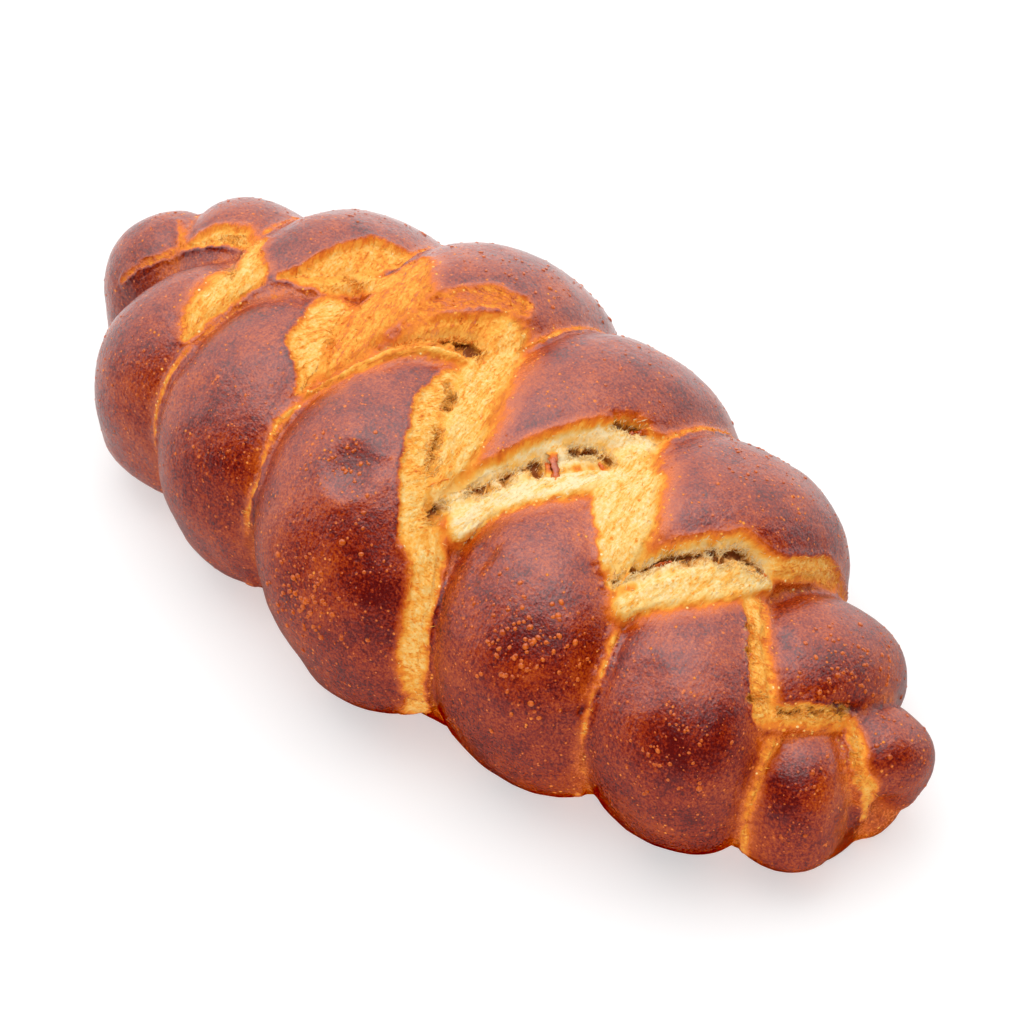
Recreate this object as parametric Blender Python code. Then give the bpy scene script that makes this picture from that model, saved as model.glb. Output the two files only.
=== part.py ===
"""Braided loaf: three strands of enriched dough, plaited, proved and baked into one solid.

Metres, +Z up. The loaf lies along X with its underside on z = 0: the broad end, where the plait was
started, at -X and the narrow pinched end at +X. The origin is the middle of the underside.
From above, the plait shows as lobes that lean in from the front (-Y, names with F) and from the back
(+Y, names with B) in turn. Each lobe comes out from under the one before it, swells, and rolls down
its own side to the bench.
"""

import bmesh
import bpy
from mathutils import Vector

for old_object in list(bpy.data.objects):
    bpy.data.objects.remove(old_object)

MM = 0.001

# Driving dimensions of the baked loaf.
LOAF_LENGTH = 340 * MM
LOAF_WIDTH = 169 * MM
LOAF_HEIGHT = 92 * MM

# The lobes in plaiting order, millimetres. Distances from the middle line count towards the lobe's own side.
# station   along the loaf, at the lobe's crest
# shoulder  crest from the middle line
# reach     outer end of the centreline from the middle line
# height    centreline's height at the crest
# tuck      how far its hidden inner end passes over the middle line
# entry     inner end along the loaf, from the station
# lean      outer end along the loaf, from the station
# girth     half width at the crest
# foot      half width at the outer end
LOBES = {
    #      station shoulder reach height tuck entry lean girth foot
    "F1": (-151,   -4,      3,    38,    10,  10,    1,  23,   22),
    "B1": (-129,   19,     26,    44,    -2,  -2,   -1,  27,   28),
    "F2": (-115,   25,     36,    50,     6,   7,    0,  28,   27),
    "B2": (-94,    22,     44,    56,    16, -14,    6,  28,   33),
    "F3": (-78,    33,     45,    57,    10,  -3,   10,  30,   31),
    "B3": (-44,    28,     53,    62,    28, -12,    4,  32,   36),
    "F4": (-27,    36,     54,    62,    18,  -2,   21,  34,   36),
    "B4": (10,     24,     44,    62,    32, -14,    8,  31,   36),
    "F5": (43,     36,     44,    57,    10, -11,   11,  28,   33),
    "B5": (64,     16,     34,    57,    32, -13,    5,  33,   35),
    "F6": (93,     32,     39,    50,     8, -11,    6,  28,   30),
    "B6": (115,     4,     20,    45,    26,  -8,    0,  24,   24),
    "F7": (131,    24,     31,    35,   -14,  -6,    4,  17,   18),
    "B7": (146,     2,      4,    32,    12,  -8,    1,  16,   14),
    "F8": (144,     4,      0,     8,     6, -12,    2,  11,   11),
}

NECK_LIMIT = 18 * MM        # half width of the widest neck, where a strand comes out
NECK_SHARE = 0.75           # neck's half width over the girth, on slimmer strands
NECK_DROP = 3 * MM          # the hidden end lies this much lower than the crest
FLATNESS = 0.87             # a lobe's half thickness over its half width at the crest
FOOT_FLATNESS = 0.84        # the same at its outer end
FOOT_RISE = 5 * MM          # height of a lobe's outer end: this and a share of its crest
FOOT_SHARE = 0.42
FULLNESS = 2.3              # 2 is an ellipse, more is a squarer section

# The solid middle of the loaf, under the plait: a low bar that gives the flat underside its outline.
CORE_PATH = (Vector((-136, 8, 16)) * MM, Vector((-6, -2, 18)) * MM, Vector((134, -12, 13)) * MM)
CORE_WIDTH = (31 * MM, 66 * MM, 21 * MM)
CORE_DEPTH = (22 * MM, 25 * MM, 18 * MM)
CORE_FULLNESS = 3.0

STRAIGHT_SHARE = 0.6        # part of each sphere that is drawn along the centreline, between its round ends
SPHERE_SEGMENTS = 40
SPHERE_RINGS = 28
VOXEL = 2.2 * MM            # grid that melts the strands into one skin
SMOOTHING_PASSES = 2        # take the grid's steps off the skin
TRIANGLES = 8200            # kept in the finished solid, before its underside is cut
CUT_TOLERANCE = 0.05 * MM   # corners this near the bench plane count as on it


def through_three(values, t):
    """The quadratic that takes the three values at t = 0, 0.5 and 1."""
    first, middle, last = values
    return first * (1 - t) * (1 - 2 * t) + middle * 4 * t * (1 - t) + last * t * (2 * t - 1)


def direction(path, t):
    """Unit tangent of the quadratic through the three points of path."""
    first, middle, last = path
    return (first * (4 * t - 3) + middle * (4 - 8 * t) + last * (4 * t - 1)).normalized()


def add_strand(dough, path, widths, depths, across, fullness):
    """A round-ended body: a sphere whose length is drawn along path, with a full oval section.

    widths are its half sizes along the direction across, and depths those at a right angle to it.
    """
    sphere = bmesh.ops.create_uvsphere(dough, u_segments=SPHERE_SEGMENTS, v_segments=SPHERE_RINGS, radius=1)
    for vertex in sphere["verts"]:
        x, y, along = vertex.co
        t = min(max((along / STRAIGHT_SHARE + 1) / 2, 0), 1)
        overshoot = max(abs(along) - STRAIGHT_SHARE, 0) / (1 - STRAIGHT_SHARE)
        if along < 0:
            overshoot = -overshoot
        radius = max(1 - abs(overshoot) ** fullness, 0) ** (1 / fullness)
        ring = (abs(x) ** fullness + abs(y) ** fullness) ** (1 / fullness) or 1
        forward = direction(path, t)
        sideways = (across - forward * across.dot(forward)).normalized()
        upwards = forward.cross(sideways)
        width = through_three(widths, t)
        depth = through_three(depths, t)
        vertex.co = (
            through_three(path, t)
            + forward * overshoot * min(width, depth)
            + sideways * width * radius * x / ring
            + upwards * depth * radius * y / ring
        )


def add_lobe(dough, name, row):
    """One visible stretch of strand, from its hidden neck over the crest to its foot on the bench."""
    station, shoulder, reach, height, tuck, entry, lean, girth, foot = (value * MM for value in row)
    side = -1 if name.startswith("F") else 1
    neck = min(NECK_LIMIT, NECK_SHARE * girth)
    inner = Vector((station + entry, -side * tuck, height - NECK_DROP))
    crest = Vector((station, side * shoulder, height))
    outer = Vector((station + lean, side * reach, FOOT_RISE + FOOT_SHARE * height))
    widths = (neck, girth, foot)
    depths = (neck, FLATNESS * girth, FOOT_FLATNESS * foot)
    add_strand(dough, (inner, crest, outer), widths, depths, Vector((1, 0, 0)), FULLNESS)


def plaited_dough():
    """All lobes and the core, still as bodies that run through each other."""
    dough = bmesh.new()
    for name, row in LOBES.items():
        add_lobe(dough, name, row)
    add_strand(dough, CORE_PATH, CORE_WIDTH, CORE_DEPTH, Vector((0, 1, 0)), CORE_FULLNESS)
    bmesh.ops.recalc_face_normals(dough, faces=dough.faces)
    mesh = bpy.data.meshes.new("loaf")
    dough.to_mesh(mesh)
    dough.free()
    return mesh


def modified(mesh, kind, **settings):
    """A new mesh: the given one after one modifier."""
    helper = bpy.data.objects.new("helper", mesh)
    bpy.context.collection.objects.link(helper)
    modifier = helper.modifiers.new(kind, kind)
    for setting, value in settings.items():
        setattr(modifier, setting, value)
    depsgraph = bpy.context.evaluated_depsgraph_get()
    result = bpy.data.meshes.new_from_object(helper.evaluated_get(depsgraph))
    bpy.data.objects.remove(helper)
    return result


def baked(mesh):
    """One skin round all the strands, thinned to the triangle budget."""
    skin = modified(mesh, "REMESH", mode="VOXEL", voxel_size=VOXEL)
    skin = modified(skin, "SMOOTH", iterations=SMOOTHING_PASSES)
    triangles_of_skin = 2 * len(skin.polygons)
    return modified(skin, "DECIMATE", ratio=TRIANGLES / triangles_of_skin)


def set_on_bench(mesh):
    """Cuts the underside flat at z = 0, then brings the loaf to its length, width and height."""
    loaf = bmesh.new()
    loaf.from_mesh(mesh)
    everything = loaf.verts[:] + loaf.edges[:] + loaf.faces[:]
    bmesh.ops.bisect_plane(
        loaf, geom=everything, dist=CUT_TOLERANCE, plane_co=(0, 0, 0), plane_no=(0, 0, 1), clear_inner=True
    )
    rim = [edge for edge in loaf.edges if edge.is_boundary]
    bmesh.ops.edgeloop_fill(loaf, edges=rim)
    bmesh.ops.recalc_face_normals(loaf, faces=loaf.faces)
    bmesh.ops.triangulate(loaf, faces=loaf.faces)
    lowest = Vector([min(vertex.co[axis] for vertex in loaf.verts) for axis in range(3)])
    highest = Vector([max(vertex.co[axis] for vertex in loaf.verts) for axis in range(3)])
    size = highest - lowest
    middle = (lowest + highest) / 2
    bmesh.ops.translate(loaf, vec=(-middle.x, -middle.y, -lowest.z), verts=loaf.verts)
    bmesh.ops.scale(
        loaf, vec=(LOAF_LENGTH / size.x, LOAF_WIDTH / size.y, LOAF_HEIGHT / size.z), verts=loaf.verts
    )
    loaf.to_mesh(mesh)
    loaf.free()


def crust_material():
    """Egg-washed crust, baked mahogany brown and glossy."""
    crust = bpy.data.materials.new("crust")
    crust.use_nodes = True
    shader = crust.node_tree.nodes["Principled BSDF"]
    shader.inputs["Base Color"].default_value = (0.25, 0.058, 0.014, 1)
    shader.inputs["Roughness"].default_value = 0.35
    shader.inputs["Metallic"].default_value = 0
    return crust


def make_loaf():
    """The one piece: strands plaited, baked into one skin and set on the bench."""
    mesh = baked(plaited_dough())
    mesh.name = "loaf"
    set_on_bench(mesh)
    mesh.shade_smooth()
    mesh.materials.clear()
    mesh.materials.append(crust_material())
    loaf = bpy.data.objects.new("loaf", mesh)
    bpy.context.collection.objects.link(loaf)


make_loaf()
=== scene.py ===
import math

import bmesh
import bpy
import numpy as np
from mathutils import Matrix, Vector, noise
from mathutils.bvhtree import BVHTree


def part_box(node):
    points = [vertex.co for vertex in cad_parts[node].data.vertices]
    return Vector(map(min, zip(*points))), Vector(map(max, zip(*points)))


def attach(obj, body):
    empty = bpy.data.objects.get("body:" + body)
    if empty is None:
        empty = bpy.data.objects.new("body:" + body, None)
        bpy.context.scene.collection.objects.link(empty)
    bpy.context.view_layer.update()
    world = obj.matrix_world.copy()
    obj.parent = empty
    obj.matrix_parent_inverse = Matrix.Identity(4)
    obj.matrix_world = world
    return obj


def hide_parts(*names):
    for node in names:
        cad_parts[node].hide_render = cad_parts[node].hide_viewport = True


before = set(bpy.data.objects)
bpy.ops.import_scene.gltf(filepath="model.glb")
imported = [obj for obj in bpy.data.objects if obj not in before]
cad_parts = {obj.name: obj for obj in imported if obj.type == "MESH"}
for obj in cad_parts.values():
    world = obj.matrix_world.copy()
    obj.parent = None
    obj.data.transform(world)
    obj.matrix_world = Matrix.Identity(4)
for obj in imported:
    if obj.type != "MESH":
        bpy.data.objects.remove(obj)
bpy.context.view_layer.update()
MM = 0.001


# ---- The loaf: strands, skin and crust ---------------------------------------------------------------
# Three strands of enriched dough, plaited, proved until they fuse, brushed with egg and baked.
# Each visible stretch of strand is a round-ended body; together they melt into one skin, which tears
# open along the plait in the oven and shows the bare dough under the crust.

# The lobes in plaiting order, millimetres. Distances from the middle line count towards the lobe's own side.
# station along the loaf at the crest, shoulder = crest from the middle line, reach = outer end from it,
# height of the centreline at the crest, tuck = inner end past the middle line, entry and lean = inner and
# outer end along the loaf from the station, girth and foot = half widths at the crest and the outer end.
LOBES = {
    #      station shoulder reach height tuck entry lean girth foot
    "F1": (-151,   -4,      3,    38,    10,  10,    1,  23,   22),
    "B1": (-129,   19,     26,    44,    -2,  -2,   -1,  27,   28),
    "F2": (-115,   25,     36,    50,     6,   7,    0,  28,   27),
    "B2": (-94,    22,     44,    56,    16, -14,    6,  28,   33),
    "F3": (-78,    33,     45,    57,    10,  -3,   10,  30,   31),
    "B3": (-44,    28,     53,    62,    28, -12,    4,  32,   36),
    "F4": (-27,    36,     54,    62,    18,  -2,   21,  34,   36),
    "B4": (10,     24,     44,    62,    32, -14,    8,  31,   36),
    "F5": (41,     36,     44,    57,    10,  -9,    9,  30,   37),
    "B5": (64,     16,     34,    57,    32, -13,    5,  33,   35),
    "F6": (93,     32,     39,    50,     8, -11,    6,  28,   30),
    "B6": (115,     4,     20,    45,    26,  -8,    0,  24,   24),
    "F7": (131,    24,     31,    35,   -14,  -6,    4,  17,   18),
    "B7": (146,     2,      4,    32,    12,  -8,    1,  16,   14),
    "F8": (144,     4,      0,     8,     6, -12,    2,  11,   11),
}
NECK_LIMIT = 18 * MM
NECK_SHARE = 0.75
NECK_DROP = 3 * MM
FLATNESS = 0.87
FOOT_FLATNESS = 0.84
FOOT_RISE = 5 * MM
FOOT_SHARE = 0.42
FULLNESS = 2.3
CORE_PATH = (Vector((-136, 8, 16)) * MM, Vector((-6, -2, 18)) * MM, Vector((134, -12, 13)) * MM)
CORE_WIDTH = (31 * MM, 66 * MM, 21 * MM)
CORE_DEPTH = (22 * MM, 25 * MM, 18 * MM)
CORE_FULLNESS = 3.0
STRAIGHT_SHARE = 0.6
SKIN_VOXEL = 2.5 * MM


def through_three(values, t):
    """The quadratic that takes the three values at t = 0, 0.5 and 1."""
    first, middle, last = values
    return first * (1 - t) * (1 - 2 * t) + middle * 4 * t * (1 - t) + last * t * (2 * t - 1)


def direction(path, t):
    """Unit tangent of the quadratic through the three points of path."""
    first, middle, last = path
    return (first * (4 * t - 3) + middle * (4 - 8 * t) + last * (4 * t - 1)).normalized()


def add_strand(dough, strand, segments, rings):
    """A round-ended body: a sphere whose length is drawn along the strand's path, with a full oval section."""
    path, widths, depths, across, fullness = strand
    sphere = bmesh.ops.create_uvsphere(dough, u_segments=segments, v_segments=rings, radius=1)
    for vertex in sphere["verts"]:
        x, y, along = vertex.co
        t = min(max((along / STRAIGHT_SHARE + 1) / 2, 0), 1)
        overshoot = max(abs(along) - STRAIGHT_SHARE, 0) / (1 - STRAIGHT_SHARE)
        if along < 0:
            overshoot = -overshoot
        radius = max(1 - abs(overshoot) ** fullness, 0) ** (1 / fullness)
        ring = (abs(x) ** fullness + abs(y) ** fullness) ** (1 / fullness) or 1
        forward = direction(path, t)
        sideways = (across - forward * across.dot(forward)).normalized()
        upwards = forward.cross(sideways)
        width = through_three(widths, t)
        depth = through_three(depths, t)
        vertex.co = (
            through_three(path, t)
            + forward * overshoot * min(width, depth)
            + sideways * width * radius * x / ring
            + upwards * depth * radius * y / ring
        )
    return sphere["verts"]


def lobe_strand(name, row):
    """Path, widths, depths, width direction and fullness of one visible stretch of strand."""
    station, shoulder, reach, height, tuck, entry, lean, girth, foot = (value * MM for value in row)
    side = -1 if name.startswith("F") else 1
    neck = min(NECK_LIMIT, NECK_SHARE * girth)
    inner = Vector((station + entry, -side * tuck, height - NECK_DROP))
    crest = Vector((station, side * shoulder, height))
    outer = Vector((station + lean, side * reach, FOOT_RISE + FOOT_SHARE * height))
    widths = (neck, girth, foot)
    depths = (neck, FLATNESS * girth, FOOT_FLATNESS * foot)
    return (inner, crest, outer), widths, depths, Vector((1, 0, 0)), FULLNESS


strands = [lobe_strand(name, row) for name, row in LOBES.items()]
strands.append((CORE_PATH, CORE_WIDTH, CORE_DEPTH, Vector((0, 1, 0)), CORE_FULLNESS))

dough = bmesh.new()
for strand in strands:
    add_strand(dough, strand, 40, 28)
bmesh.ops.recalc_face_normals(dough, faces=dough.faces)
skin_mesh = bpy.data.meshes.new("loaf_crust")
dough.to_mesh(skin_mesh)
dough.free()


def modified(mesh, kind, **settings):
    """A new mesh: the given one after one modifier."""
    helper = bpy.data.objects.new("helper", mesh)
    bpy.context.collection.objects.link(helper)
    modifier = helper.modifiers.new(kind, kind)
    for setting, value in settings.items():
        setattr(modifier, setting, value)
    depsgraph = bpy.context.evaluated_depsgraph_get()
    result = bpy.data.meshes.new_from_object(helper.evaluated_get(depsgraph))
    bpy.data.objects.remove(helper)
    return result


def corners(mesh):
    """The mesh's vertex places, one row each."""
    flat = np.empty(len(mesh.vertices) * 3)
    mesh.vertices.foreach_get("co", flat)
    return flat.reshape(-1, 3)


skin_mesh = modified(skin_mesh, "REMESH", mode="VOXEL", voxel_size=SKIN_VOXEL)

# Onto the bench: the loaf is brought to the CAD solid's box, and its underside is cut flat.
loaf_low, loaf_high = (np.array(corner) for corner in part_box("loaf"))
raw = corners(skin_mesh)
raw_low = np.maximum(raw.min(0), (-1, -1, 0))
raw_high = raw.max(0)
stretch = (loaf_high - loaf_low) / (raw_high - raw_low)
shift = loaf_low - raw_low * stretch
skin = bmesh.new()
skin.from_mesh(skin_mesh)
bmesh.ops.scale(skin, vec=stretch, verts=skin.verts)
bmesh.ops.translate(skin, vec=shift, verts=skin.verts)
everything = skin.verts[:] + skin.edges[:] + skin.faces[:]
bmesh.ops.bisect_plane(skin, geom=everything, dist=0.05 * MM, plane_co=(0, 0, 0), plane_no=(0, 0, 1), clear_inner=True)

# Tears, millimetres: each is a route over the skin seen from above, as (along, across, half width) stops.
# core: how brown its bare dough is, 0 pale crumb to 1 dark crust. fade: width of the browning on its soft
# side; soft: which way that side faces, degrees from +X (the other side is crisp).
# step: how far the bare dough lies below the crust's lip. grain: the way its fibres run, degrees from +X.
TEARS = {
    #            core  fade soft step grain stops
    "B1 front": (0.26, 4, 90, 1.2, 100, (-138, 2, 1), (-131, 9, 4), (-122, 14, 4), (-110, 9, 3.5)),
    "B2 neck": (
        0.24, 5, 135, 0.3, 100, (-108, 3, 4.5), (-102, -3, 6), (-106, -12, 7.5), (-106, -24, 5.5), (-103, -33, 2),
    ),
    "B2 front": (0.27, 2, 90, 2.4, 100, (-93, 1, 1), (-86, 8, 4), (-80, 19, 7.5), (-75, 30, 8), (-71, 33, 6)),
    "B2 to F3": (0.27, 2, 0, 0.2, 100, (-86, 4, 1.5), (-77, 10, 3.5), (-72, 19, 5), (-61, 19, 5.5)),
    "F3 flank": (0.25, 4, 0, 1.2, 70, (-70, 1, 7.5), (-65, -16, 7.5), (-58, -23, 5.5), (-55, -31, 2)),
    "B3 neck": (0.35, 7, 0, 0.3, 100, (-58, 29, 5.5), (-52, 16, 9.5), (-55, 2, 10), (-53, -9, 8.5), (-52, -20, 4)),
    "B3 fold": (0.44, 3, 90, 0.8, 20, (-41, 5, 2), (-40, 17, 3.5), (-34, 26, 4), (-28, 33, 4), (-20, 37, 3.5)),
    "B3 front": (0.36, 3, 90, 2.2, 100, (-40, -2, 2), (-34, 9, 5), (-26, 16, 6.5), (-20, 26, 4)),
    "F4 top": (
        0.26, 8, -110, -1.0, 70, (-52, -31, 1.5), (-45, -21, 2), (-40, -10, 2.5), (-35, -1, 2.5), (-27, 5, 3),
        (-20, 8, 2.5),
    ),
    "F4 flank": (
        0.24, 4, 0, 1.0, 60, (-18, -1, 4), (-13, -16, 6.5), (-5, -30, 6), (0, -39, 6), (6, -46, 6), (11, -50, 7.5),
    ),
    "F4 to F5": (
        0.24, 2.5, 180, 1.4, 10, (13, -51, 7), (16, -53, 6), (20, -60, 5), (22, -66, 5), (25, -72, 5),
        (29, -75, 4.5), (31, -78, 3.5),
    ),
    "B4 neck": (
        0.22, 10, 20, 0.2, 100, (-17, 26, 7.5), (-13, 15, 10), (-6, -2, 10), (-1, -15, 8.5), (3, -26, 6.5),
        (6, -35, 4.5),
    ),
    "B4 front": (
        0.07, 4, 90, 2.6, 100, (9, -36, 5.5), (14, -21, 5), (22, -7, 6), (32, 8, 7.5), (40, 19, 7.5), (45, 23, 5),
    ),
    "F5 top": (0.07, 6, -80, -0.8, 80, (15, -38, 5.5), (20, -27, 6.5), (28, -16, 6.5), (35, -8, 6.5), (41, 2, 6)),
    "B5 neck": (0.17, 10, 20, 0.2, 100, (42, 17, 8), (51, 3, 12), (60, -9, 10), (66, -19, 7), (68, -25, 3)),
    "B5 front": (0.05, 3.5, 90, 2.6, 100, (69, -26, 3), (75, -14, 4.5), (83, -3, 4.5), (92, 7, 6), (99, 11, 4.5)),
    "B5 to B6": (0.28, 3, 0, 0.9, 60, (101, 14, 4), (105, 22, 4), (108, 32, 4), (109, 47, 2.5)),
    "F6 top": (0.14, 6, -80, -0.6, 85, (74, -29, 4.5), (81, -19, 6.5), (89, -8, 8), (95, 2, 8.5), (100, 8, 4.5)),
    "F6 to B6": (0.28, 3.5, 60, 1.2, 15, (104, -1, 4.5), (113, -11, 4), (121, -20, 4.5), (127, -26, 4.5)),
    "B6 to F7": (0.28, 3, -100, 0.9, 80, (130, -24, 3.5), (137, -16, 4), (143, -7, 3)),
    "F7 to B7": (0.30, 3, 45, 0.4, 10, (146, -5, 2), (152, -9, 2.5), (157, -14, 2.5), (160, -13, 2.5), (161, -13, 1.5)),
    "F6 to F7": (
        0.34, 4, -30, 0.2, 10, (132, -29, 2.5), (133, -34, 1.5), (135, -41, 1.2), (137, -45, 1), (138, -47, 0.8),
    ),
    "F1 to B1": (0.40, 2, 0, 0.2, 90, (-139, 3, 1.2), (-143, 6, 1), (-149, 11, 0.5)),
    "F1 to F2": (0.40, 2, 180, 0.2, 0, (-139, 2, 1.2), (-147, -6, 0.6), (-153, -13, 0.4)),
    "F2 to F3": (0.30, 1.5, 180, 0.2, 0, (-99, -36, 1), (-100, -46, 0.7), (-100, -53, 0.6), (-98, -57, 0.4)),
    "F3 to F4": (
        0.24, 1.5, 180, 0.3, 0, (-52, -37, 1.2), (-54, -44, 1.1), (-52, -50, 0.6), (-48, -59, 0.5), (-49, -66, 0.8),
        (-48, -70, 0.6), (-47, -76, 0.4),
    ),
    "F5 to F6": (0.26, 1.5, 180, 0.3, 0, (77, -37, 1.3), (81, -46, 0.7), (83, -55, 0.6), (85, -61, 0.5), (87, -65, 0.4)),
    "B1 to B2": (0.34, 1.5, 180, 0.2, 0, (-116, 20, 1.2), (-116, 36, 0.8), (-115, 44, 0.5), (-116, 49, 0.4)),
    "B2 to B3": (0.30, 1.5, 180, 0.3, 0, (-69, 30, 1.6), (-68, 46, 0.9), (-68, 57, 0.6), (-68, 66, 0.5)),
    "B3 to B4": (0.28, 2, 180, 0.3, 0, (-11, 26, 1.6), (-8, 37, 0.9), (-5, 54, 0.6), (-3, 65, 0.6), (-1, 68, 0.4)),
    "B4 to B5": (0.30, 2, 180, 0.3, 0, (46, 27, 1.6), (50, 42, 0.8), (53, 53, 0.7), (56, 60, 0.6)),
    "B5 to B6 back": (0.32, 2, 0, 0.3, 0, (109, 28, 1.8), (112, 35, 0.9), (112, 39, 0.6)),
}
HARD_FADE = 1.0
# Gashes in the bare dough: depth, width of the wall that slopes into it from the far side, stops as above.
GASHES = {
    "B1": (2, 2, (-127, 10, 0.7), (-123, 12, 1.2), (-119, 14, 0.7)),
    "B2 neck": (2.2, 2.5, (-113, -1, 1.7), (-108, -6, 1.7), (-105, -11, 0.7)),
    "B2 front": (2.4, 3, (-77, 15, 1), (-74, 16, 1.6), (-72, 16, 1.6)),
    "F3 flank": (2.4, 1, (-67, 2, 0.7), (-64, -5, 0.7), (-58, -13, 1.2), (-55, -18, 1.1)),
    "B3 slit": (
        4.4, 3, (-43, -6, 0.8), (-40, -2, 1), (-36, 3, 1), (-31, 7, 1.2), (-27, 11, 2.4), (-22, 13, 3.6),
        (-20, 14, 2.8), (-18, 12, 1),
    ),
    "F4 upper": (3.0, 1, (-16, -4, 1.1), (-12, -7, 1.2), (-11, -12, 0.7)),
    "F4 slit": (4.0, 1.5, (-6, -21, 0.9), (-3, -27, 1.3), (1, -33, 1.2)),
    "F4 pocket": (3.8, 2, (10, -43, 2.5), (10, -38, 2.5)),
    "B4 gash": (
        4.4, 4, (12, -29, 1.5), (14, -26, 2.1), (17, -22, 1.2), (19, -17, 2.2), (21, -13, 1.3), (24, -9, 2.7),
        (26, -6, 1),
    ),
    "B4 cavity": (4.6, 5, (30, 3, 1.8), (33, 6, 2.2), (37, 9, 2.2), (40, 10, 1)),
    "B4 hole": (4.2, 1.5, (34, 20, 1.3), (38, 23, 2.4), (40, 25, 1.5)),
    "B5 gash": (
        4.6, 4, (67, -28, 1.4), (69, -25, 2), (71, -21, 1.1), (74, -16, 2), (77, -11, 2.6), (81, -7, 2.1),
        (85, -3, 1.9),
    ),
    "B5 far gash": (4.6, 4, (87, 1, 1.7), (90, 1, 1.7), (92, 6, 2.5), (95, 8, 2.6), (99, 9, 1.6)),
    "F6 pit": (2, 1, (123, -27, 1.2), (125, -23, 1.2)),
    "F6 pores": (1.4, 0.5, (108, -10, 0.6), (109, -8, 0.6), (115, -19, 0.6), (116, -16, 0.6)),
    "F7 near": (2.2, 2, (131, -22, 1.5), (135, -18, 1.5)),
    "F7 far": (2.2, 2, (137, -15, 1), (139, -12, 1.3), (143, -5, 1.5)),
    "B7": (1.4, 0.5, (149, -8, 0.5), (153, -12, 0.5), (157, -15, 0.4)),
}
FAR_SIDE = Vector((-0.63, 0.77, 0))

# Creases in the crust: depth, how much darker than the crust beside them (painted shade in the crease; a negative value
# paints it paler), stops as above.
CREASES = {
    "B3 lip": (0.5, 0.1, (-40, 7, 0.4), (-41, 17, 0.5), (-40, 28, 0.6), (-37, 36, 0.6), (-32, 40, 0.5), (-27, 44, 0.3)),
    "B1 lip": (0.4, 0.1, (-141, 9, 0.3), (-138, 12, 0.5), (-134, 15, 0.5), (-128, 19, 0.3)),
    "F5 crack": (0.5, 0.1, (59, -34, 0.3), (60, -29, 0.5), (62, -25, 0.5)),
    "F5 wrinkle": (0.5, -0.05, (33, -38, 0.4), (33, -43, 1.2), (33, -48, 1.4), (34, -53, 0.5)),
    "B6 scratch": (0.6, 0.15, (116, 1, 0.3), (119, -4, 0.5), (121, -7, 0.4)),
    "B6 to B7": (1.1, 0.25, (141, -7, 0.4), (145, -1, 0.7), (148, 5, 0.7), (150, 14, 0.5)),
    "F5 to F6": (0.9, 0.2, (84, -53, 0.4), (83, -56, 0.8), (82, -59, 0.5)),
    "F3 wrinkle": (0.4, 0.08, (-84, -30, 0.4), (-80, -36, 0.7), (-79, -42, 0.4)),
    "F6 wrinkle": (0.4, 0.06, (104, -14, 0.4), (101, -20, 0.6), (99, -27, 0.4)),
}


def route_reach(points, stops, side=Vector()):
    """How far inside a route each point lies (negative outside it), and how much it lies to its side."""
    best = np.full(len(points), -1.0)
    leaning = np.zeros(len(points))
    for start, end in zip(stops, stops[1:]):
        run = end[:3] - start[:3]
        offset = points - start[:3]
        t = np.clip(offset @ run / (run @ run), 0, 1)
        offset -= t[:, None] * run
        distance = np.linalg.norm(offset, axis=1)
        reach = start[3] + (end[3] - start[3]) * t - distance
        leaning = np.where(reach > best, offset @ np.array(side) / (distance + 1e-9), leaning)
        best = np.maximum(best, reach)
    return best, leaning


def on_skin(stops, tree):
    """Stops in metres, each dropped on the skin from above, or moved to it where it lies beside the loaf."""
    placed = []
    for x, y, width in stops:
        place = tree.ray_cast(Vector((x * MM, y * MM, 0.2)), Vector((0, 0, -1)))[0]
        if place is None or place.z < 9 * MM:
            place = tree.find_nearest(Vector((x * MM, y * MM, 18 * MM)))[0]
        placed.append(np.array((*place, width * MM)))
    return placed


skin_tree = BVHTree.FromBMesh(skin)
tear_routes = [on_skin(row[5:], skin_tree) for row in TEARS.values()]
gash_routes = [on_skin(row[2:], skin_tree) for row in GASHES.values()]
crease_routes = [on_skin(row[2:], skin_tree) for row in CREASES.values()]


def refine(skin, routes, margin, cuts):
    """Divides the faces that lie within margin of the routes."""
    points = np.array([vertex.co for vertex in skin.verts])
    near = np.full(len(points), -1.0)
    for stops in routes:
        near = np.maximum(near, route_reach(points, stops)[0])
    skin.verts.index_update()
    chosen = set()
    for face in skin.faces:
        if any(near[vertex.index] > -margin for vertex in face.verts):
            chosen.update(face.edges)
    bmesh.ops.subdivide_edges(skin, edges=list(chosen), cuts=cuts, use_grid_fill=True)


refine(skin, tear_routes, 1.2 * MM, 1)
refine(skin, tear_routes, 0.3 * MM, 1)
refine(skin, gash_routes, 0.7 * MM, 1)
rim = [edge for edge in skin.edges if edge.is_boundary]
base = bmesh.ops.edgeloop_fill(skin, edges=rim)
bmesh.ops.recalc_face_normals(skin, faces=skin.faces)
bmesh.ops.triangulate(skin, faces=skin.faces)
skin_mesh.clear_geometry()
skin.to_mesh(skin_mesh)
skin.free()
print("skin", len(skin_mesh.vertices), len(skin_mesh.polygons))

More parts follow.
